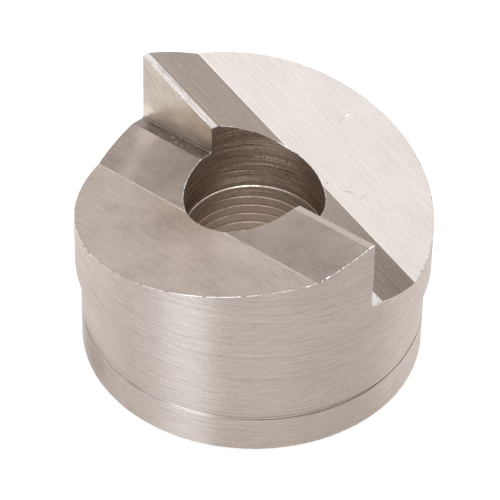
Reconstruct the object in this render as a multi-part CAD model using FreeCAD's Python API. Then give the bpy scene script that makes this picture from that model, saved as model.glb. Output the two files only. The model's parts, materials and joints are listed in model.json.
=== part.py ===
# Knockout punch for a round hole of 49.6 mm in sheet metal, pulled through the sheet by a draw stud.
# It is one piece of tool steel. A bar is turned, bored and tapped, and its face is then milled into two
# cutting teeth, half a turn apart. Each half of the face is a ramp that falls from the tip of its own tooth
# to the foot of the other tooth, so that the round edge shears into the sheet bit by bit.
#
# Frame: +Z up along the bore, the flat back on z = 0, +X along the ramps. The teeth point up.
# Lengths are in millimetres and angles in degrees.
import FreeCAD
import Part
import math
import os

from FreeCAD import Vector

# Turned outside
cutting_diameter = 49.6     # the round cutting edge, full size down to the shoulder
overall_height = 34.1       # flat back to the tips of the teeth
shoulder_width = 0.8        # how far the body behind the shoulder is relieved, all round
shoulder_height = 14.5      # flat back to the shoulder
shoulder_corner = 0.3       # radius that the turning tool leaves under the shoulder
groove_height = 6.05        # flat back to the middle of the groove round the body
groove_width = 0.8
groove_depth = 0.3
back_chamfer = 0.3          # broken edge round the flat back

# Bore, threaded for a 3/4-16 draw stud that enters from the cutting face
thread_major_diameter = 19.05
thread_pitch = 1.5875
counterbore_clearance = 0.25   # how much wider than the thread the counterbore is, all round
counterbore_floor = 18.45      # flat back to the ledge where the counterbore ends
countersink_angle = 45.0       # slope of the countersinks that lead into the thread at both ends
countersink_margin = 0.15      # how much wider than the thread the countersink at the back is, all round

# Milled face
ramp_angle = 12.95          # fall of both ramps along X
tooth_face_offset = 0.45    # distance from the bore's axis to the upright face of each tooth
land_width = 1.0            # level strip along the cutting edge of each tooth
relief_angle = 19.5         # fall of the relief from the land towards the crease
relief_width = 7.6          # from the land to the crease, past which the ramp is level across again
root_radius = 0.4           # cutter's corner, left at the foot of each tooth
run_out = 1.0               # how far a milling pass runs past the part on every side

cutting_radius = cutting_diameter / 2
body_radius = cutting_radius - shoulder_width
thread_major_radius = thread_major_diameter / 2
thread_minor_radius = (thread_major_diameter - thread_pitch) / 2     # the tapping drill's size
counterbore_radius = thread_major_radius + counterbore_clearance

centre = Vector(0, 0, 0)
up = Vector(0, 0, 1)


def rounded_corner(start, corner, end):
    """A quarter-round edge from start to end, where two sides at right angles would meet in the corner."""
    round_centre = start + end - corner
    middle = round_centre + (corner - round_centre) * math.sin(math.radians(45.0))
    return Part.Arc(start, middle, end).toShape()


def turned_blank():
    """The bar, turned outside and bored through, with its cutting end still square."""

    def at(radius, height):
        return Vector(radius, 0, height)

    countersink_slope = math.tan(math.radians(countersink_angle))
    back_mouth_radius = thread_major_radius + countersink_margin
    back_countersink = (back_mouth_radius - thread_minor_radius) * countersink_slope
    front_countersink = (thread_major_radius - thread_minor_radius) * countersink_slope

    groove_start = at(body_radius, groove_height - groove_width / 2)
    groove_bottom = at(body_radius - groove_depth, groove_height)
    groove_end = at(body_radius, groove_height + groove_width / 2)
    groove = Part.Arc(groove_start, groove_bottom, groove_end).toShape()

    corner_radius = min(shoulder_corner, 0.9 * shoulder_width)
    corner_start = at(body_radius, shoulder_height - corner_radius)
    corner_end = at(body_radius + corner_radius, shoulder_height)
    corner = rounded_corner(corner_start, at(body_radius, shoulder_height), corner_end)

    back = [
        at(back_mouth_radius, 0),
        at(body_radius - back_chamfer, 0),
        at(body_radius, back_chamfer),
        groove_start,
    ]
    head_and_bore = [
        corner_end,
        at(cutting_radius, shoulder_height),
        at(cutting_radius, overall_height),
        at(counterbore_radius, overall_height),
        at(counterbore_radius, counterbore_floor),
        at(thread_major_radius, counterbore_floor),
        at(thread_minor_radius, counterbore_floor - front_countersink),
        at(thread_minor_radius, back_countersink),
        back[0],
    ]
    outline = Part.makePolygon(back).Edges
    outline += [groove]
    outline += Part.makePolygon([groove_end, corner_start]).Edges
    outline += [corner]
    outline += Part.makePolygon(head_and_bore).Edges
    return Part.Face(Part.Wire(outline)).revolve(centre, up, 360)


def ramp_waste():
    """What the milling takes off one half of the face, the one at +Y.

    Its cross-section is drawn at x = 0 and swept along the ramp, right across the part. At -X it leaves the
    half's own tooth standing above the other half's ramp, and at +X it cuts the foot of the other tooth.
    """
    ramp_slope = math.tan(math.radians(ramp_angle))
    tip_reach = math.sqrt(cutting_radius**2 - tooth_face_offset**2)
    reach = cutting_radius + run_out
    land_level = overall_height - ramp_slope * tip_reach
    crease_level = land_level - relief_width * math.tan(math.radians(relief_angle))
    top_level = overall_height + ramp_slope * reach + run_out

    land_edge = tooth_face_offset + land_width
    crease = land_edge + relief_width
    outer = max(reach, crease + run_out)
    foot = -tooth_face_offset
    root = min(root_radius, 0.9 * (land_edge - foot))
    root_start = Vector(0, foot, land_level + root)
    root_end = Vector(0, foot + root, land_level)

    milled_surface = [
        root_end,
        Vector(0, land_edge, land_level),
        Vector(0, crease, crease_level),
        Vector(0, outer, crease_level),
        Vector(0, outer, top_level),
        Vector(0, foot, top_level),
        root_start,
    ]
    section = Part.makePolygon(milled_surface).Edges
    section += [rounded_corner(root_start, Vector(0, foot, land_level), root_end)]
    along_ramp = Vector(1, 0, -ramp_slope)
    cut = Part.Face(Part.Wire(section))
    cut.translate(along_ramp * -reach)
    return cut.extrude(along_ramp * (2 * reach))


def punch():
    """The finished punch: the blank, less what the milling takes off each half of its face."""
    waste = ramp_waste()
    other_waste = waste.copy()
    other_waste.rotate(centre, up, 180)
    return turned_blank().cut([waste, other_waste]).removeSplitter()


os.makedirs("parts", exist_ok=True)
finished = punch()
finished.exportStep("parts/punch.step")
print("punch: valid", finished.isValid(), "solids", len(finished.Solids), "faces", len(finished.Faces))
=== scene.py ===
import json
import math

import bmesh
import bpy
from mathutils import Matrix, Vector


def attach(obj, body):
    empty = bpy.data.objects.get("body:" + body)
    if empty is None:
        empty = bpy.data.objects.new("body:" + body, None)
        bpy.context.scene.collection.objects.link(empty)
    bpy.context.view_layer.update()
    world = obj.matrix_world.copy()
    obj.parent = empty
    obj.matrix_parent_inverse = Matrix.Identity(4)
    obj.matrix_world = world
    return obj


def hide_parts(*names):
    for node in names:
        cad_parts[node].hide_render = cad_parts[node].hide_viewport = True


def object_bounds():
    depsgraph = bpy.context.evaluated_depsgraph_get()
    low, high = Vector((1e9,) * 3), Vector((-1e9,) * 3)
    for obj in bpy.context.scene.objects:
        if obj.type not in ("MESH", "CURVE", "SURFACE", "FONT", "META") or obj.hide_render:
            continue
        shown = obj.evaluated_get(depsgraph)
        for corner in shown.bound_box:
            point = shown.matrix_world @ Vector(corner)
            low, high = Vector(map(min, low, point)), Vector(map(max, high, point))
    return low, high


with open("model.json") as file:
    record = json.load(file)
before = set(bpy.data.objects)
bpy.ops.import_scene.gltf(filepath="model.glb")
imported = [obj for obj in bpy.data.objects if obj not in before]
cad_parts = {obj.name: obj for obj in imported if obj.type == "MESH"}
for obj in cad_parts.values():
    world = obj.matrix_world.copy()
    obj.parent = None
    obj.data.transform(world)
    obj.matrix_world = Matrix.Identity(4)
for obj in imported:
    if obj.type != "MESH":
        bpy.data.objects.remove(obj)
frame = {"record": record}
cad_low, cad_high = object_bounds()

# The turned blank.
# A bar of tool steel, chucked and turned outside, with a counterbored hole through it for the draw stud. The
# head keeps its full cutting diameter down to the shoulder, and the body behind it is relieved and grooved.
MM = 0.001                     # lengths are written in millimetres, and angles in degrees
mounts = {mount["name"]: mount for mount in frame["record"]["mounts"]}
cutting_radius = (cad_high.x - cad_low.x) / 2 / MM
overall_height = cad_high.z / MM
thread_minor_radius = mounts["stud_thread"]["dims"]["r_mm"]
counterbore_radius = mounts["stud_counterbore"]["dims"]["r_mm"]
counterbore_clearance = 0.25   # how much wider than the thread the counterbore is, all round
counterbore_floor = 18.45      # flat back to the ledge where the counterbore ends
ledge_top = 0.07               # how far the ledge's rubbed corner reaches up the counterbore's wall
ledge_corner = 0.13            # size of that corner, down and inwards
ledge_slope = 1.1              # how steeply the ledge falls towards the thread
shoulder_width = 0.8           # how far the body behind the shoulder is relieved, all round
shoulder_height = 14.5         # flat back to the shoulder
shoulder_corner = 0.3          # radius that the turning tool leaves under the shoulder
shoulder_shade_line = 0.02           # painted shade line along the shoulder's lower corner
groove_height = 6.05           # flat back to the middle of the groove round the body
groove_width = 0.8
groove_depth = 0.27
lower_shade_line = (-0.28, -0.15)    # the two painted shade lines along the groove, as heights from its middle
upper_shade_line = (0.05, 0.18)
back_chamfer = 0.3             # broken edge round the flat back
countersink_margin = 0.15      # how much wider than the thread the countersink at the back is, all round
bar_allowance = 1.0            # length of bar above the teeth, which the milling takes off
thread_major_radius = counterbore_radius - counterbore_clearance
back_mouth_radius = thread_major_radius + countersink_margin
body_radius = cutting_radius - shoulder_width
steps_around = 240             # straight steps that a full circle is drawn with
corner_steps = 8               # and a quarter-round corner


def linear(hex_colour):
    """A colour written as sRGB hex, as linear red, green, blue and alpha."""
    parts = [int(hex_colour[i:i + 2], 16) / 255 for i in (1, 3, 5)]
    return [c / 12.92 if c <= 0.04045 else ((c + 0.055) / 1.055) ** 2.4 for c in parts] + [1.0]


def add_node(tree, kind, inputs=None, **settings):
    """A node with its settings, and with each input linked to a socket or set to a value."""
    node = tree.nodes.new(kind)
    for name, value in settings.items():
        setattr(node, name, value)
    for name, value in (inputs or {}).items():
        if isinstance(value, bpy.types.NodeSocket):
            tree.links.new(value, node.inputs[name])
        else:
            node.inputs[name].default_value = value
    return node


def noise(tree, vector, size, detail, rough):
    """Noise whose patches measure size along X, Y and Z."""
    scale = [1 / (length * MM) for length in size]
    stretched = add_node(tree, "ShaderNodeVectorMath", {0: vector, 1: scale}, operation="MULTIPLY")
    settings = {"Vector": stretched.outputs["Vector"], "Scale": 1.0, "Detail": detail, "Roughness": rough}
    return add_node(tree, "ShaderNodeTexNoise", settings).outputs["Fac"]


score_start = 0.12             # how far a noise strays from its middle where a deeper line starts
score_full = 0.20              # and where the line has its full strength
score_break = 0.3              # length of the gaps that break up a light line


def cut_steel(
    name, colours, roughness, patterns, scores, depth, middle=0.5, anisotropy=0.0, place=None, patches=()
):
    """Bare tool steel as a cutting tool leaves it.

    colours are its dark and light, and roughness its smooth and coarse. patterns lists noises that shade it
    between the two: the size of each along X, Y and Z, and its share. scores is the size of the few deeper,
    broken lines and how much they darken and lighten it. depth is the lines' height and middle the tone that
    the patterns vary about. place turns a spot into the one where its patterns are read. patches are the
    middle and reach, along X, Y and Z, of soft places painted lighter or darker, most of them painted light
    and shade, and by how much.
    """
    material = bpy.data.materials.new(name)
    material.use_nodes = True
    tree = material.node_tree
    shader = tree.nodes["Principled BSDF"]
    shader.inputs["Metallic"].default_value = 1.0
    shader.inputs["Anisotropic"].default_value = anisotropy
    if anisotropy:
        up = add_node(tree, "ShaderNodeCombineXYZ", {"Z": 1.0}).outputs[0]
        tree.links.new(up, shader.inputs["Tangent"])
    spot = add_node(tree, "ShaderNodeTexCoord").outputs["Object"]
    where = spot if place is None else place(tree, spot)

    tone = middle - sum(share for size, share in patterns) / 2
    for size, share in patterns:
        blend = {0: noise(tree, where, size, 3.0, 0.6), 1: share, 2: tone}
        tone = add_node(tree, "ShaderNodeMath", blend, operation="MULTIPLY_ADD").outputs[0]

    size, darken, lighten = scores
    scored = noise(tree, where, size, 1.0, 0.5)
    lines = []
    for side, strength in ((1, darken), (-1, lighten)):
        limits = {
            "Value": scored,
            "From Min": 0.5 + side * score_start,
            "From Max": 0.5 + side * score_full,
            "To Max": strength,
        }
        lines.append(add_node(tree, "ShaderNodeMapRange", limits).outputs["Result"])
    dark_line, light_line = lines
    limits = {"Value": noise(tree, where, [score_break] * 3, 1.0, 0.5), "From Min": 0.4, "From Max": 0.6}
    gaps = add_node(tree, "ShaderNodeMapRange", limits).outputs["Result"]
    broken_line = add_node(tree, "ShaderNodeMath", {0: light_line, 1: gaps}, operation="MULTIPLY").outputs[0]
    tone = add_node(tree, "ShaderNodeMath", {0: tone, 1: dark_line}, operation="SUBTRACT").outputs[0]
    both = {0: tone, 1: broken_line}
    tone = add_node(tree, "ShaderNodeMath", both, operation="ADD", use_clamp=True).outputs[0]

    limits = {"Value": tone, "To Min": roughness[1], "To Max": roughness[0]}
    gloss = add_node(tree, "ShaderNodeMapRange", limits).outputs["Result"]
    tree.links.new(gloss, shader.inputs["Roughness"])
    heights = {"Height": tone, "Distance": depth * MM, "Strength": 1.0}
    relief = add_node(tree, "ShaderNodeBump", heights).outputs["Normal"]
    tree.links.new(relief, shader.inputs["Normal"])

    for patch_middle, patch_reach, share in patches:
        offset = [-length * MM for length in patch_middle]
        scale = [1 / (length * MM) for length in patch_reach]
        moved = add_node(tree, "ShaderNodeVectorMath", {0: spot, 1: offset}).outputs["Vector"]
        scaled = add_node(tree, "ShaderNodeVectorMath", {0: moved, 1: scale}, operation="MULTIPLY")
        away = add_node(tree, "ShaderNodeVectorMath", {0: scaled.outputs["Vector"]}, operation="LENGTH")
        limits = {"Value": away.outputs["Value"], "From Min": 1.0, "From Max": 0.0, "To Max": share}
        patch = add_node(tree, "ShaderNodeMapRange", limits, interpolation_type="SMOOTHSTEP")
        both = {0: tone, 1: patch.outputs["Result"]}
        tone = add_node(tree, "ShaderNodeMath", both, operation="ADD").outputs[0]
    shades = {0: tone, 6: linear(colours[0]), 7: linear(colours[1])}
    colour = add_node(tree, "ShaderNodeMix", shades, data_type="RGBA").outputs[2]
    tree.links.new(colour, shader.inputs["Base Color"])
    return material


# Turned steel: the finishing cut leaves fine rings that stay level all the way round. They are drawn about
# 0.1 mm apart, coarser than the real feed, so that they show. The rings spread a lamp's reflection up and
# down. Low down on one side, a soft painted shade stands in for the floor's shadow mirrored in the wall.
turned_steel = cut_steel(
    "turned_tool_steel",
    colours=("#877A71", "#E0D1C6"),
    roughness=(0.37, 0.45),
    patterns=[((400, 400, 0.09), 0.5), ((3, 3, 0.08), 0.8), ((9, 9, 6), 0.15), ((0.15, 0.15, 0.15), 0.7)],
    scores=((60, 60, 0.12), 0.18, 0.18),
    depth=0.003,
    anisotropy=0.95,
    # painted shade: the floor's shadow as the wall mirrors it
    patches=[((-7.0, -22.8, 3.5), (9, 6, 7), -0.35)],
)

# Bored steel: the counterbore's wall, a rougher cut whose rings are broken by chatter, brown with old oil.
# It is lighter at one place along its mouth. The rings are drawn coarser than the real ones as well.
bored_steel = cut_steel(
    "bored_tool_steel",
    colours=("#5C4A40", "#FFECDD"),
    roughness=(0.30, 0.44),
    patterns=[((10, 10, 0.10), 0.5), ((0.5, 0.5, 0.09), 0.7), ((8, 8, 0.9), 0.2), ((0.15, 0.15, 0.15), 0.7)],
    scores=((10, 10, 0.14), 0.3, 2.5),
    depth=0.006,
    middle=0.34,
    patches=[((-4.8, 8.5, 26.0), (4.5, 4.5, 2.5), 0.22)],
)

# Shade and grime steel: painted shade in the groove and along the shoulder's lower corner, and grime with
# painted shade in the dark pits. Along the groove the painted shade is strong on one side, and a painted
# highlight nearly hides it on another.
shade_and_grime_steel = cut_steel(
    "grimed_groove_steel",
    colours=("#4C433C", "#9C8E83"),
    roughness=(0.28, 0.36),
    patterns=[((9, 9, 0.1), 0.5), ((3, 3, 3), 0.5), ((0.3, 0.3, 0.3), 0.5)],
    scores=((5, 5, 0.2), 0.3, 0.3),
    depth=0.002,
    anisotropy=0.8,
    # painted shade on one side of the groove, and a painted highlight of the front left lamp on another
    patches=[((23.5, 5, 6.1), (9, 10, 3), -0.7), ((14.5, -18.8, 6.1), (8, 8, 3), 0.6)],
)

# Countersunk steel: the cone that leads into the thread, dulled by a film of dried oil.
countersunk_steel = cut_steel(
    "oily_countersunk_steel",
    colours=("#54473B", "#AD9786"),
    roughness=(0.48, 0.60),
    patterns=[((5, 5, 0.15), 0.5), ((0.4, 0.4, 0.4), 0.5), ((0.15, 0.15, 0.15), 0.9)],
    scores=((5, 5, 0.2), 0.3, 0.3),
    depth=0.004,
)

# Burnished steel: a corner that draw studs have rubbed bright, such as the ledge's above the thread. Along
# the ledge it carries a painted highlight on one side and painted shade on another.
burnished_and_lit_steel = cut_steel(
    "burnished_tool_steel",
    colours=("#A39487", "#FFF8EE"),
    roughness=(0.28, 0.40),
    patterns=[((2.5, 2.5, 2.5), 1.0), ((0.4, 0.4, 0.4), 1.0)],
    scores=((1.0, 1.0, 1.0), 0.5, 0.5),
    depth=0.002,
    # painted shade and a painted highlight along the ledge
    patches=[((0.5, 9.7, 18.4), (6, 4, 2), -0.9), ((-9.6, 2.0, 18.4), (4, 6, 2), 0.4)],
)


def arc_points(middle, radius, first, last):
    """Points on a round corner of a profile, between the directions of its two ends."""
    points = []
    for step in range(corner_steps + 1):
        angle = math.radians(first + (last - first) * step / corner_steps)
        points.append((middle[0] + radius * math.cos(angle), middle[1] + radius * math.sin(angle)))
    return points


def mesh_object(name, mesh, materials):
    """An object made of a bmesh, with its faces turned outwards."""
    bmesh.ops.recalc_face_normals(mesh, faces=mesh.faces)
    made = bpy.data.meshes.new(name)
    mesh.to_mesh(made)
    mesh.free()
    for material in materials:
        made.materials.append(material)
    thing = bpy.data.objects.new(name, made)
    bpy.context.collection.objects.link(thing)
    return thing


# The profile runs outwards over the flat back, up the outside and down through the bore. Each point has its
# radius, its height and the finish of the stretch that follows it.
TURNED, BORED, SHADED, BURNISHED_AND_LIT, COUNTERSUNK = range(5)
blank_finishes = [turned_steel, bored_steel, shade_and_grime_steel, burnished_and_lit_steel, countersunk_steel]
ledge_bottom = counterbore_floor - (counterbore_radius - thread_minor_radius) * ledge_slope
profile = [
    (back_mouth_radius, 0, TURNED),
    (body_radius - back_chamfer, 0, TURNED),
    (body_radius, back_chamfer, TURNED),
    (body_radius, groove_height - groove_width / 2, TURNED),
    # The groove's two dark stretches are painted shade.
    (body_radius - 0.35 * groove_depth, groove_height + lower_shade_line[0], SHADED),
    (body_radius - 0.60 * groove_depth, groove_height + lower_shade_line[1], TURNED),
    (body_radius - groove_depth, groove_height + upper_shade_line[0], SHADED),
    (body_radius - 0.90 * groove_depth, groove_height + upper_shade_line[1], TURNED),
    (body_radius, groove_height + groove_width / 2, TURNED),
]
shoulder_middle = (body_radius + shoulder_corner, shoulder_height - shoulder_corner)
for radius, height in arc_points(shoulder_middle, shoulder_corner, 180, 90):
    profile.append((radius, height, TURNED))
profile += [
    # A thin stretch of painted shade along the shoulder's lower corner.
    (cutting_radius, shoulder_height, SHADED),
    (cutting_radius, shoulder_height + shoulder_shade_line, TURNED),
    (cutting_radius, overall_height + bar_allowance, TURNED),
    (counterbore_radius, overall_height + bar_allowance, BORED),
    (counterbore_radius, counterbore_floor + ledge_top, BURNISHED_AND_LIT),
    (counterbore_radius - ledge_corner, counterbore_floor + ledge_top - ledge_corner, COUNTERSUNK),
    (thread_minor_radius, ledge_bottom, BORED),
    (thread_minor_radius, back_mouth_radius - thread_minor_radius, BORED),
]
blank = bmesh.new()
rings = []
for radius, height, finish in profile:
    ring = []
    for step in range(steps_around):
        angle = 2 * math.pi * step / steps_around
        ring.append(blank.verts.new((radius * math.cos(angle), radius * math.sin(angle), height)))
    rings.append(ring)
for (radius, height, finish), ring, following in zip(profile, rings, rings[1:] + rings[:1]):
    for step in range(steps_around):
        after = (step + 1) % steps_around
        face = blank.faces.new((ring[step], ring[after], following[after], following[step]))
        face.material_index = finish
punch = mesh_object("punch_body", blank, blank_finishes)


def cut_from(thing, cutter):
    """Takes the cutter's volume off the thing, whose new faces keep the cutter's finish."""
    boolean = thing.modifiers.new("cut", "BOOLEAN")
    boolean.operation = "DIFFERENCE"
    boolean.solver = "EXACT"
    boolean.material_mode = "TRANSFER"
    boolean.object = cutter
    finished = bpy.data.meshes.new_from_object(thing.evaluated_get(bpy.context.evaluated_depsgraph_get()))
    thing.modifiers.remove(boolean)
    thing.data = finished
    bpy.data.objects.remove(cutter)


# The tapped thread.
# A 3/4-16 thread for the draw stud, cut by a tap that runs right through and out into the counterbore. It is
# drawn as a shallow groove, and what is left between two turns is a worn, flat-topped crest.
thread_pitch = 1.5875
thread_depth = 0.17            # as far as it is drawn
flank_slope = math.tan(math.radians(30))
crest_width = 0.08             # flat left between two turns
crest_wear = 0.03              # how far the worn corners of a crest reach down its flanks
wear_slope = 1.0               # how steeply a worn corner falls away
tap_start = -3.2775            # height of the groove's middle at +X, below the flat back
tap_overrun = 2.0              # how far the tap runs out past the ledge
tap_inside = 0.30              # how far the tap's profile reaches inside the drilled hole
tap_steps = 180                # straight steps in one turn
tap_turns = math.ceil((counterbore_floor + tap_overrun - tap_start) / thread_pitch)

# Tapped steel: the thread's flanks and bottom, torn a little by the tap and dulled by oil.
tapped_steel = cut_steel(
    "tapped_tool_steel",
    colours=("#8E796A", "#D2BCAB"),
    roughness=(0.36, 0.48),
    patterns=[((4, 4, 0.15), 0.6), ((0.6, 0.6, 0.12), 0.6), ((0.15, 0.15, 0.15), 1.0)],
    scores=((4, 4, 0.15), 0.2, 0.6),
    depth=0.004,
)

# Worn crests: their corners are rubbed bright, though only here and there, with oil left in between.
worn_crest_steel = cut_steel(
    "worn_crest_steel",
    colours=("#75614F", "#FFF4E6"),
    roughness=(0.28, 0.44),
    patterns=[((0.25, 0.25, 0.25), 1.8), ((1.5, 1.5, 1.5), 0.9)],
    scores=((1.0, 1.0, 1.0), 0.3, 0.3),
    depth=0.002,
)

# The tap, as a tree: a profile with four corners, swept along a helix.
tap_tree = bpy.data.node_groups.new("helical_cut", "GeometryNodeTree")
socket_names = {}
for socket_name, kind in [
    ("Geometry", "NodeSocketGeometry"),
    ("Pitch", "NodeSocketFloat"),
    ("Turns", "NodeSocketFloat"),
    ("Start Height", "NodeSocketFloat"),
    ("Outer Radius", "NodeSocketFloat"),
    ("Inner Radius", "NodeSocketFloat"),
    ("Outer Half Width", "NodeSocketFloat"),
    ("Inner Half Width", "NodeSocketFloat"),
    ("Steps per Turn", "NodeSocketInt"),
    ("Finish", "NodeSocketMaterial"),
]:
    socket = tap_tree.interface.new_socket(socket_name, in_out="INPUT", socket_type=kind)
    socket_names[socket_name] = socket.identifier
tap_tree.interface.new_socket("Geometry", in_out="OUTPUT", socket_type="NodeSocketGeometry")
given = add_node(tap_tree, "NodeGroupInput").outputs
rise = add_node(tap_tree, "ShaderNodeMath", {0: given["Pitch"], 1: given["Turns"]}, operation="MULTIPLY")
helix = add_node(
    tap_tree,
    "GeometryNodeCurveSpiral",
    {
        "Resolution": given["Steps per Turn"],
        "Rotations": given["Turns"],
        "Start Radius": given["Outer Radius"],
        "End Radius": given["Outer Radius"],
        "Height": rise.outputs[0],
        "Reverse": True,
    },
).outputs[0]
upright = add_node(tap_tree, "GeometryNodeSetCurveNormal", {"Curve": helix}, mode="Z_UP").outputs[0]
radii = {0: given["Inner Radius"], 1: given["Outer Radius"]}
inwards = add_node(tap_tree, "ShaderNodeMath", radii, operation="SUBTRACT").outputs[0]
corners = {}
for point, across, half_width, side in (
    ("Point 1", None, "Outer Half Width", 1.0),
    ("Point 2", inwards, "Inner Half Width", 1.0),
    ("Point 3", inwards, "Inner Half Width", -1.0),
    ("Point 4", None, "Outer Half Width", -1.0),
):
    offset = add_node(tap_tree, "ShaderNodeMath", {0: given[half_width], 1: side}, operation="MULTIPLY")
    parts = {"Y": offset.outputs[0]}
    if across is not None:
        parts["X"] = across
    corners[point] = add_node(tap_tree, "ShaderNodeCombineXYZ", parts).outputs[0]
section = add_node(tap_tree, "GeometryNodeCurvePrimitiveQuadrilateral", corners, mode="POINTS").outputs[0]
sweep = {"Curve": upright, "Profile Curve": section, "Fill Caps": True}
swept = add_node(tap_tree, "GeometryNodeCurveToMesh", sweep).outputs[0]
lift = add_node(tap_tree, "ShaderNodeCombineXYZ", {"Z": given["Start Height"]}).outputs[0]
placed = add_node(tap_tree, "GeometryNodeTransform", {"Geometry": swept, "Translation": lift}).outputs[0]
whole = add_node(tap_tree, "GeometryNodeRealizeInstances", {0: placed}).outputs[0]
finish = {"Geometry": whole, "Material": given["Finish"]}
done = add_node(tap_tree, "GeometryNodeSetMaterial", finish).outputs[0]
add_node(tap_tree, "NodeGroupOutput", {0: done})


def tap(thing, outer_radius, inner_radius, outer_half_width, inner_half_width, material):
    """Cuts one helical groove of the thread's pitch into the thing."""
    cutter = mesh_object("tap", bmesh.new(), [])
    modifier = cutter.modifiers.new("tap", "NODES")
    modifier.node_group = tap_tree
    for socket_name, value in {
        "Pitch": thread_pitch,
        "Turns": float(tap_turns),
        "Start Height": tap_start,
        "Outer Radius": outer_radius,
        "Inner Radius": inner_radius,
        "Outer Half Width": outer_half_width,
        "Inner Half Width": inner_half_width,
        "Steps per Turn": tap_steps,
        "Finish": material,
    }.items():
        modifier[socket_names[socket_name]] = value
    cutter.data = bpy.data.meshes.new_from_object(
        cutter.evaluated_get(bpy.context.evaluated_depsgraph_get())
    )
    cutter.modifiers.remove(modifier)
    helical = bmesh.new()
    helical.from_mesh(cutter.data)
    bmesh.ops.recalc_face_normals(helical, faces=helical.faces)
    helical.to_mesh(cutter.data)
    helical.free()
    cut_from(thing, cutter)


groove_mouth = (thread_pitch - crest_width) / 2
worn_mouth = groove_mouth - crest_wear * flank_slope
tap(
    punch,
    thread_minor_radius + thread_depth,
    thread_minor_radius - tap_inside,
    groove_mouth - thread_depth * flank_slope,
    groove_mouth + tap_inside * flank_slope,
    tapped_steel,
)
tap(
    punch,
    thread_minor_radius + crest_wear,
    thread_minor_radius - tap_inside,
    worn_mouth,
    worn_mouth + (crest_wear + tap_inside) * wear_slope,
    worn_crest_steel,
)

# The milled face.
# Each half of the cutting end is milled into a ramp that falls from the tip of its own tooth to the foot of
# the other one. The relief behind each tooth's land is milled steeper, down to a crease.
ramp_slope = math.tan(math.radians(12.95))
relief_slope = math.tan(math.radians(19.5))
tooth_face_offset = 0.45       # distance from the bore's axis to the upright face of each tooth
land_width = 1.0               # level strip along the cutting edge of each tooth
relief_width = 7.6             # from the land to the crease, past which the ramp is level across again
root_radius = 0.4              # cutter's corner, left at the foot of each tooth
run_out = 1.0                  # how far a milling pass runs past the blank
land_edge = tooth_face_offset + land_width
crease = land_edge + relief_width
land_level = overall_height - ramp_slope * math.sqrt(cutting_radius**2 - tooth_face_offset**2)
crease_level = land_level - relief_width * relief_slope

# Milled steel: the level facets and the reliefs, with fine straight lines along the cutter's path. The lines
# are drawn about 0.1 mm apart, coarser than the real feed, so that they show. The first half's relief
# carries painted shade at its low end, in front of tooth 2, where that tooth's face is mirrored.
milled_level_steel = cut_steel(
    "fine_milled_tool_steel",
    colours=("#94867B", "#C6B7AD"),
    roughness=(0.30, 0.38),
    patterns=[((9, 0.09, 400), 0.7), ((3, 0.18, 400), 0.3), ((7, 5, 400), 0.2), ((0.18, 0.18, 400), 0.7)],
    scores=((14, 0.12, 400), 0.15, 0.20),
    depth=0.002,
)
milled_relief_steel = cut_steel(
    "milled_relief_tool_steel",
    colours=("#85766B", "#CAB9AC"),
    roughness=(0.30, 0.40),
    patterns=[((25, 0.10, 400), 0.7), ((3, 0.12, 400), 0.5), ((6, 4, 400), 0.2), ((0.18, 0.18, 400), 0.9)],
    scores=((40, 0.12, 400), 0.12, 0.9),
    depth=0.002,
    # painted shade at the first relief's low end, in front of tooth 2
    patches=[((24, 6, 21), (20, 12, 12), -0.42)],
)

# Rubbed milled steel: the second half has lain on benches and in boxes, so cloudy rubbing hides its lines.
# Its relief carries a painted reflection of light off tooth 1's face, lightest at that tooth's foot and
# along a soft streak from there.
rubbed_level_steel = cut_steel(
    "rubbed_level_tool_steel",
    colours=("#83756A", "#BFAFA4"),
    roughness=(0.30, 0.38),
    patterns=[((9, 0.10, 400), 0.5), ((1.2, 0.9, 400), 0.3), ((6, 4, 400), 0.6), ((0.16, 0.16, 400), 1.2)],
    scores=((5, 0.15, 400), 0.2, 0.2),
    depth=0.002,
    patches=[((-3.5, -12.5, 25.1), (9, 7, 8), -0.25), ((8.2, -10.6, 27.6), (9, 5, 6), 0.15)],
)
rubbed_and_lit_relief_steel = cut_steel(
    "rubbed_relief_tool_steel",
    colours=("#776A61", "#BCABA0"),
    roughness=(0.30, 0.40),
    patterns=[((9, 0.10, 400), 0.3), ((1.2, 0.9, 400), 0.3), ((7, 5, 400), 0.8), ((0.16, 0.16, 400), 1.2)],
    scores=((6, 0.15, 400), 0.15, 0.2),
    depth=0.002,
    patches=[
        # painted reflection of light off tooth 1's face
        ((-21.0, -1.6, 23.4), (3.5, 3.0, 4), 0.65),
        ((-19.6, -4.3, 22.9), (3.0, 3.5, 4), 0.35),
        ((-17.8, -7.4, 22.2), (3.5, 3.0, 4), 0.30),
        ((-11.9, -4.7, 24.5), (6, 5, 6), -0.12),
        ((18.5, -6.5, 30.8), (8, 6, 8), -0.12),
    ],
)

# Root steel: the strip at tooth 1's foot, roughened by the corner of the cutter and darkened by painted
# shade from the tooth's tall face beside it, a little less at its outer end.
shaded_root_steel = cut_steel(
    "rubbed_root_steel",
    colours=("#332C29", "#867B74"),
    roughness=(0.32, 0.46),
    patterns=[((20, 0.2, 400), 1.0), ((2, 0.4, 400), 0.7), ((0.25, 0.2, 0.3), 1.6)],
    scores=((12, 0.4, 400), 0.3, 0.4),
    depth=0.003,
    # less painted shade at the strip's outer end
    patches=[((-24.3, -1.0, 22.8), (2.4, 2.6, 3), 1.0)],
)


def arcs_about(middle_x, middle_z):
    """Places a pattern by the distance from a point beside a tooth's face, so that its marks are arcs."""
    def place(tree, where):
        parts = add_node(tree, "ShaderNodeSeparateXYZ", {0: where}).outputs
        flat = add_node(tree, "ShaderNodeCombineXYZ", {"X": parts["X"], "Z": parts["Z"]}).outputs[0]
        ends = {0: flat, 1: (middle_x * MM, 0, middle_z * MM)}
        away = add_node(tree, "ShaderNodeVectorMath", ends, operation="DISTANCE").outputs["Value"]
        curved = {"X": away, "Y": parts["X"], "Z": parts["Z"]}
        return add_node(tree, "ShaderNodeCombineXYZ", curved).outputs[0]
    return place
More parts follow.
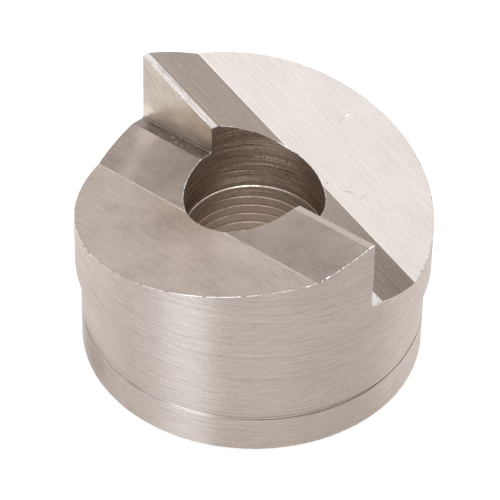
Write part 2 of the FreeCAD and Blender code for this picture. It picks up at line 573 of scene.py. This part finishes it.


# Side-milled tooth face: the side of the cutter leaves faint arcs, drawn coarser than the real ones so that
# they show. A painted reflection of the facets below lightens the foot of tooth 1's face, most at its outer
# corner.
tooth_face_steel = cut_steel(
    "side_milled_tooth_face",
    colours=("#9D8F82", "#D6C8B9"),
    roughness=(0.26, 0.36),
    patterns=[((0.12, 14, 14), 0.7), ((0.4, 5, 5), 0.4), ((400, 2.5, 2.5), 0.7), ((400, 0.16, 0.16), 1.0)],
    scores=((0.2, 4, 4), 0.3, 0.3),
    depth=0.003,
    place=arcs_about(4.0, 60.0),
    patches=[
        # painted reflection of the facets below
        ((-23.4, -0.45, 23.6), (4.0, 3, 3.0), 1.6),
        ((-19.0, -0.45, 24.5), (5.0, 3, 1.7), 1.3),
        ((-14.0, -0.45, 25.7), (5.0, 3, 1.6), 1.1),
        ((-20.5, -0.45, 27.5), (3.5, 3, 3.0), -0.3),
    ],
)

# Crease steel: the last pass has left a line along the crease, brighter than the level part beside it. On
# the second half rubbing has blended it into a wider, softer one.
bright_crease_steel = cut_steel(
    "bright_crease_steel",
    colours=("#A89B8F", "#D8CDC3"),
    roughness=(0.28, 0.38),
    patterns=[((9, 0.3, 400), 0.8), ((0.4, 0.4, 400), 0.6)],
    scores=((6, 0.2, 400), 0.2, 0.2),
    depth=0.002,
)
blended_crease_steel = cut_steel(
    "blended_crease_steel",
    colours=("#8F8277", "#CDBFB4"),
    roughness=(0.28, 0.38),
    patterns=[((3, 1, 400), 0.9), ((0.4, 0.4, 400), 0.9)],
    scores=((6, 0.2, 400), 0.3, 0.3),
    depth=0.002,
)

# Stoned land steel: the narrow strip behind tooth 1's edge, whetted along its length until it shines.
stoned_land_steel = cut_steel(
    "stoned_land_steel",
    colours=("#7A6D65", "#CBBDB3"),
    roughness=(0.26, 0.40),
    patterns=[((25, 0.10, 400), 1.3), ((2, 0.14, 400), 0.9), ((0.3, 0.3, 400), 0.9)],
    scores=((12, 0.12, 400), 0.5, 0.3),
    depth=0.002,
)

# What is milled off each half: its section at the bore's axis, swept along the ramp.
reach = cutting_radius + run_out
top = overall_height + ramp_slope * reach + 2 * run_out
foot = -tooth_face_offset
root = arc_points((foot + root_radius, land_level + root_radius), root_radius, 180, 270)
LAND, LEVEL, RELIEF, FACE, ROOT, CREASE = range(6)

# For each half: the steels of its land, level part and relief, the finish of its tooth's foot, how far its
# crease reaches towards the land and away from it, and the crease's steel.
halves = [
    ([stoned_land_steel, milled_level_steel, milled_relief_steel], LAND, 0.0, 0.1, bright_crease_steel),
    ([milled_level_steel, rubbed_level_steel, rubbed_and_lit_relief_steel], ROOT, 0.15, 0.15, blended_crease_steel),
]
for half, (facet_steels, root_finish, before, after, crease_steel) in enumerate(halves):
    ramp = [
        (land_edge, land_level),
        (crease - before, crease_level + before * relief_slope),
        (crease + after, crease_level),
        (reach, crease_level),
        (reach, top),
    ]
    outline = root + ramp + [(foot, top)]
    side_finishes = [root_finish] * corner_steps + [LAND, RELIEF, CREASE, LEVEL, LEVEL, LEVEL, FACE]
    waste = bmesh.new()
    ends = []
    for x in (-reach, reach):
        ends.append([waste.verts.new((x, y, z - ramp_slope * x)) for y, z in outline])
    waste.faces.new(ends[0])
    waste.faces.new(ends[1])
    for i, side_finish in enumerate(side_finishes):
        j = (i + 1) % len(outline)
        side = waste.faces.new((ends[0][i], ends[0][j], ends[1][j], ends[1][i]))
        side.material_index = side_finish
    waste.transform(Matrix.Rotation(math.pi * half, 4, "Z"))
    milled_steels = facet_steels + [tooth_face_steel, shaded_root_steel, crease_steel]
    cut_from(punch, mesh_object("ramp_waste", waste, milled_steels))

# The broken edges.
# Every sharp corner is dressed by hand with a stone, which leaves a narrow bright facet. The stone hardly
# gets into the rim behind tooth 2's face, and the thread's crests keep the corners that the tap left.
edge_break = 0.07
shielded_share = 0.3           # how much of that the stone takes off where it hardly gets in
sharp_angle = 30               # turn between two faces from which their edge is sharp
weld = 0.002                   # corners nearer to each other than this are one
slack = 0.05                   # allowance in the tests of where an edge lies

# Stoned steel: bright where the stone bit, and darker where it slid.
broken_edge_steel = cut_steel(
    "stoned_edge_steel",
    colours=("#6A6059", "#FFFAF4"),
    roughness=(0.25, 0.45),
    patterns=[((0.4, 0.4, 0.4), 1.2), ((2.0, 2.0, 2.0), 1.6)],
    scores=((0.6, 0.6, 0.6), 0.8, 0.8),
    depth=0.002,
)
punch.data.materials.append(broken_edge_steel)
edges = bmesh.new()
edges.from_mesh(punch.data)
bmesh.ops.remove_doubles(edges, verts=edges.verts, dist=weld)
weight = edges.edges.layers.float.new("bevel_weight_edge")
for edge in edges.edges:
    if not edge.is_manifold or not edge.is_convex:
        continue
    if edge.calc_face_angle() < math.radians(sharp_angle):
        continue
    middle = (edge.verts[0].co + edge.verts[1].co) / 2
    in_the_bore = math.hypot(middle.x, middle.y) < counterbore_radius - slack
    on_the_body = back_chamfer + slack < middle.z < shoulder_height + slack
    if in_the_bore or on_the_body:
        continue
    shielded = middle.x > counterbore_radius and 0 < middle.y < crease
    edge[weight] = shielded_share if shielded else 1.0
edges.to_mesh(punch.data)
edges.free()
stoning = punch.modifiers.new("stoning", "BEVEL")
stoning.width = edge_break
stoning.segments = 2
stoning.limit_method = "WEIGHT"
stoning.use_clamp_overlap = False
stoning.material = len(punch.data.materials) - 1
stoned = bpy.data.meshes.new_from_object(punch.evaluated_get(bpy.context.evaluated_depsgraph_get()))
punch.modifiers.remove(stoning)
punch.data = stoned

# The nicks and scratches.
# Small dents and scratches from use, each one a shallow pit that lies in the milled face and is cut with an
# ellipsoid. The bright ones are fresh or burnished steel lightened into painted glints, and the dark ones
# hold grime with painted shade.
raised_share = 0.15            # how much of its depth an ellipsoid stands above the face
askew = Matrix.Rotation(0.5, 4, (1, 2, 3))     # turns it so that none of its corners lies in the face

# Freshly cut steel: the bottom of a new scratch or nick, cleaner than anything round it and lightened into
# painted glints.
fresh_glint_steel = cut_steel(
    "freshly_cut_steel",
    colours=("#E4DCD4", "#FFFFFF"),
    roughness=(0.30, 0.40),
    patterns=[((0.5, 0.5, 0.5), 1.0)],
    scores=((1.0, 1.0, 1.0), 0.2, 0.2),
    depth=0.002,
)


def on_the_face(x, y, half):
    """Moves and shears a flat thing so that it lies on the milled face of one half, at a point."""
    side = -1 if half else 1
    across = side * y
    fall = min(max(across - land_edge, 0), crease - land_edge) * relief_slope
    lie = Matrix.Translation((x, y, land_level - fall - ramp_slope * side * x))
    lie[2][0] = -ramp_slope * side
    if land_edge < across < crease:
        lie[2][1] = -relief_slope * side
    return lie


def on_the_rim(azimuth, half, radius=cutting_radius):
    """The place on the round cutting edge at an azimuth, or on another round edge of the milled face."""
    return radius * math.cos(math.radians(azimuth)), radius * math.sin(math.radians(azimuth)), half


# Each pit's place, length, width, depth, heading and finish. They are placed one by one.
BRIGHT, DARK, FRESH_GLINT = range(3)
pit_finishes = [burnished_and_lit_steel, shade_and_grime_steel, fresh_glint_steel]
pits = [
    ((-3.56, 19.55, 0), 3.80, 0.13, 0.012, 93, BRIGHT),
    ((-3.52, 19.00, 0), 2.30, 0.08, 0.03, 93, DARK),
    ((-3.66, 20.70, 0), 0.60, 0.07, 0.03, 90, DARK),
    ((6.60, 11.30, 0), 1.70, 0.08, 0.02, 51, DARK),
    ((8.37, 12.50, 0), 1.50, 0.05, 0.015, 97, DARK),
    ((3.89, 9.85, 0), 0.35, 0.20, 0.05, 30, DARK),
    ((-17.16, 0.45, 0), 0.45, 0.30, 0.16, 0, BRIGHT),
    ((-18.52, 0.45, 0), 0.25, 0.20, 0.12, 0, BRIGHT),
    (on_the_rim(70.3, 0), 0.50, 0.40, 0.20, 160, DARK),
    (on_the_rim(56.7, 0), 0.45, 0.36, 0.18, 147, DARK),
    (on_the_rim(111.4, 0), 0.50, 0.36, 0.18, 21, DARK),
    (on_the_rim(123.9, 0), 0.50, 0.36, 0.18, 34, DARK),
    ((-4.13, -12.48, 1), 0.22, 0.20, 0.10, 20, BRIGHT),
    ((6.35, -14.15, 1), 0.16, 0.14, 0.08, 0, BRIGHT),
    ((-9.55, -14.06, 1), 0.50, 0.10, 0.05, 60, DARK),
    ((-17.35, -0.21, 1), 0.22, 0.20, 0.12, 0, BRIGHT),
    ((-15.98, -0.79, 1), 0.20, 0.18, 0.12, 0, BRIGHT),
    ((-14.82, -0.85, 1), 0.24, 0.18, 0.12, 0, BRIGHT),
    (on_the_rim(-118.7, 1), 0.35, 0.30, 0.14, -29, BRIGHT),
    (on_the_rim(-78, 1), 0.50, 0.22, 0.10, 12, DARK),
    (on_the_rim(-75.5, 1), 0.35, 0.25, 0.12, 15, BRIGHT),
    (on_the_rim(-56, 1), 0.45, 0.20, 0.10, 34, DARK),
    (on_the_rim(-53.5, 1), 0.40, 0.25, 0.12, 36, BRIGHT),
    (on_the_rim(-24.2, 1), 0.80, 0.24, 0.10, 66, FRESH_GLINT),
    (on_the_rim(-19.6, 1), 0.25, 0.20, 0.09, 70, FRESH_GLINT),
    (on_the_rim(-17.8, 1), 0.60, 0.36, 0.14, 72, FRESH_GLINT),
    (on_the_rim(-14.2, 1), 0.22, 0.20, 0.08, 76, FRESH_GLINT),
    (on_the_rim(-12.6, 1), 0.50, 0.22, 0.10, 77, FRESH_GLINT),
    (on_the_rim(-10.9, 1), 0.28, 0.20, 0.09, 79, FRESH_GLINT),
    (on_the_rim(-8.1, 1), 0.60, 0.24, 0.10, 82, FRESH_GLINT),
    (on_the_rim(-6.3, 1), 0.22, 0.18, 0.08, 84, FRESH_GLINT),
    (on_the_rim(-4.6, 1), 0.40, 0.22, 0.10, 85, FRESH_GLINT),
    (on_the_rim(-2.6, 1), 0.90, 0.34, 0.13, 87, FRESH_GLINT),
    (on_the_rim(-171, 1, counterbore_radius), 0.45, 0.30, 0.12, -81, BRIGHT),
    (on_the_rim(-163, 1, counterbore_radius), 0.70, 0.28, 0.12, -73, BRIGHT),
    (on_the_rim(-154, 1, counterbore_radius), 0.40, 0.26, 0.11, -64, BRIGHT),
    (on_the_rim(-146, 1, counterbore_radius), 0.60, 0.28, 0.12, -56, BRIGHT),
]
for kind, pit_steel in enumerate(pit_finishes):
    dents = bmesh.new()
    for (x, y, half), length, width, depth, heading, pit_kind in pits:
        if pit_kind != kind:
            continue
        size = Matrix.Diagonal((length / 2, width / 2, depth, 1))
        facing = Matrix.Rotation(math.radians(heading), 4, "Z")
        raised = Matrix.Translation((0, 0, raised_share * depth))
        place = on_the_face(x, y, half) @ raised @ facing @ size @ askew
        bmesh.ops.create_icosphere(dents, subdivisions=2, radius=1, matrix=place)
    cut_from(punch, mesh_object("dents", dents, [pit_steel]))

# The shaded strip at tooth 1's foot.
# It is one level with tooth 2's land, on the other side of the bore. Painted shade darkens it, as it lies at
# the foot of the tooth's tall face.
finishes = punch.data.materials
for face in punch.data.polygons:
    on_the_strip = face.center.x < 0 and -land_edge < face.center.y < 0
    if on_the_strip and finishes[face.material_index] == milled_level_steel:
        face.material_index = finishes.find(shaded_root_steel.name)

# The finished punch.
# One piece of steel, brought to scale in metres. Its curved stretches are shaded smooth, and every real
# corner stays crisp.
smooth_angle = 12              # turn between two faces of a curved stretch, at most
punch.data.transform(Matrix.Scale(MM, 4))
shading = bmesh.new()
shading.from_mesh(punch.data)
for face in shading.faces:
    face.smooth = True
for edge in shading.edges:
    same_finish = len({face.material_index for face in edge.link_faces}) == 1
    edge.smooth = edge.is_manifold and same_finish and edge.calc_face_angle() < math.radians(smooth_angle)
shading.to_mesh(punch.data)
shading.free()
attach(punch, "root")
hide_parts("punch")

# The floor.
# A sheet of white paper, far wider than the view. It keeps a soft shadow of the punch.
paper_size = 6                 # in metres
paper_glow = 0.72              # light that the camera and the steel see it give, besides what falls on it
paper = bpy.data.materials.new("white_paper")
paper.use_nodes = True
paper_tree = paper.node_tree
rays = add_node(paper_tree, "ShaderNodeLightPath").outputs
mirrored = add_node(paper_tree, "ShaderNodeMath", {0: rays["Is Glossy Ray"], 1: rays["Is Transmission Ray"]})
either = {0: rays["Is Camera Ray"], 1: mirrored.outputs[0]}
seen = add_node(paper_tree, "ShaderNodeMath", either, use_clamp=True)
glow = add_node(paper_tree, "ShaderNodeMath", {0: seen.outputs[0], 1: paper_glow}, operation="MULTIPLY")
sheet = paper_tree.nodes["Principled BSDF"]
sheet.inputs["Base Color"].default_value = linear("#A0A0A0")
sheet.inputs["Roughness"].default_value = 1.0
sheet.inputs["Specular IOR Level"].default_value = 0.0
sheet.inputs["Emission Color"].default_value = linear("#FFFFFF")
paper_tree.links.new(glow.outputs[0], sheet.inputs["Emission Strength"])
paper.cycles.emission_sampling = "NONE"
bpy.ops.mesh.primitive_plane_add(size=paper_size)
floor = bpy.context.object
floor.name = "floor"
floor.data.materials.append(paper)

# The light.
# A white tent with soft lamps behind its cloth: one high behind the punch, one high in front, and low ones
# all round, of which the brightest stands front left.
view_azimuth = 48.814
view_elevation = 42.916
front = view_azimuth - 90      # the camera's own azimuth, in the part's frame
tent_top = 0.66                # brightness of the tent's cloth overhead, next to 1 low down
tent_low, tent_high = 0.10, 0.45    # sines of the elevations between which it fades
world = bpy.data.worlds.new("white_tent")
bpy.context.scene.world = world
world.use_nodes = True
tent = world.node_tree
direction = add_node(tent, "ShaderNodeTexCoord").outputs["Generated"]
height = add_node(tent, "ShaderNodeSeparateXYZ", {0: direction}).outputs["Z"]
fade = {"Value": height, "From Min": tent_low, "From Max": tent_high, "To Min": 1.0, "To Max": tent_top}
cloth = add_node(tent, "ShaderNodeMapRange", fade).outputs["Result"]
shades = {0: cloth, 6: linear("#000000"), 7: linear("#FFFFFF")}
light = add_node(tent, "ShaderNodeMix", shades, data_type="RGBA").outputs[2]

# Each lamp's azimuth from the camera's own, its elevation, how far from its middle it is full and how far
# it reaches, its strength and its colour.
for azimuth, elevation, full, edge, strength, colour in [
    (178, 62, 16, 38, 2.1, "#E0F0FF"),
    (10, 48, 10, 24, 1.6, "#FFFFFF"),
    (-36, 8, 8, 17, 4.6, "#DCEFFF"),
    (-44, 7, 10, 34, 2.2, "#DCEFFF"),
    (104, 8, 10, 32, 1.6, "#E8F4FF"),
    (-100, 6, 10, 30, 1.6, "#FFFFFF"),
    (-150, 2, 8, 26, 1.2, "#F4F8FF"),
    (190, 20, 6, 20, 0.25, "#FFFFFF"),
]:
    turned = math.radians(front + azimuth)
    raised = math.radians(elevation)
    aim = (math.cos(turned) * math.cos(raised), math.sin(turned) * math.cos(raised), math.sin(raised))
    nearness = add_node(tent, "ShaderNodeVectorMath", {0: direction, 1: aim}, operation="DOT_PRODUCT")
    limits = {
        "Value": nearness.outputs["Value"],
        "From Min": math.cos(math.radians(edge)),
        "From Max": math.cos(math.radians(full)),
        "To Max": strength,
    }
    patch = add_node(tent, "ShaderNodeMapRange", limits, interpolation_type="SMOOTHSTEP").outputs["Result"]
    tinted = {0: linear(colour)[:3], "Scale": patch}
    lamp = add_node(tent, "ShaderNodeVectorMath", tinted, operation="SCALE").outputs["Vector"]
    light = add_node(tent, "ShaderNodeVectorMath", {0: light, 1: lamp}).outputs["Vector"]
tent.links.new(light, tent.nodes["Background"].inputs["Color"])

# The camera.
# Placed as the photograph was taken: the punch's own faces and rims give its direction, distance and lens.
view_roll = 1.260
view_distance = 495.85
aim_left = -0.219
aim_up = 11.106
camera_data = bpy.data.cameras.new("camera")
camera_data.sensor_width = 36
camera_data.lens = 251.44
camera_data.clip_start = 0.01
camera_data.clip_end = 10
camera = bpy.data.objects.new("camera", camera_data)
bpy.context.collection.objects.link(camera)
turn = Matrix.Rotation(math.radians(view_azimuth), 4, "Z")
tilt = Matrix.Rotation(math.radians(90 - view_elevation), 4, "X")
roll = Matrix.Rotation(math.radians(view_roll), 4, "Z")
stand_off = Matrix.Translation(Vector((aim_left, aim_up, view_distance)) * MM)
camera.matrix_world = turn @ tilt @ roll @ stand_off
bpy.context.scene.camera = camera
bpy.context.scene.view_settings.view_transform = "Standard"
